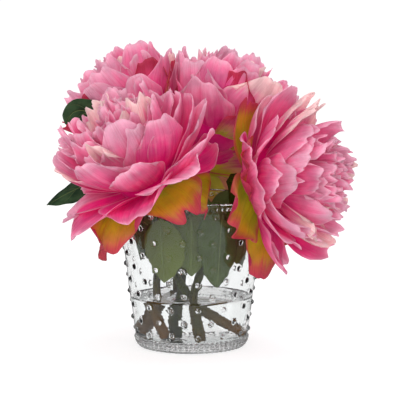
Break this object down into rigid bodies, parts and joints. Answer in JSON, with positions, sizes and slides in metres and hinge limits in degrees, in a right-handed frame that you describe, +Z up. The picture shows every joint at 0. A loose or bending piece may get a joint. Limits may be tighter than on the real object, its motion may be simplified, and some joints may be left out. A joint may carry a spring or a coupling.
{
  "type": "vase of peonies",
  "caption": "Full ruffled peonies on leafy stems, standing in water in a clear tapered glass tumbler with raised nubs.",
  "frame": {"origin": "centre of the vase's flat foot", "axes": "+Z up along the vase's axis, -Y towards the front of the arrangement, +X to its right"},
  "size_m": [0.2474, 0.2573, 0.245],
  "materials": {
    "glass": "clear, with raised nubs",
    "water": "clear water",
    "foliage": "matt dark green",
    "petals": "soft pink petals with deep pink bases and pale edges"
  },
  "bodies": {
    "root": {"vase": "glass", "water": "water", "stem_front_left": "foliage", "stem_right": "foliage", "stem_back_left": "foliage", "stem_back_right": "foliage", "stem_back": "foliage", "bloom_front_left": "petals", "bloom_right": "petals", "bloom_back_left": "petals", "bloom_back_right": "petals", "bloom_back": "petals"}
  },
  "joints": []
}
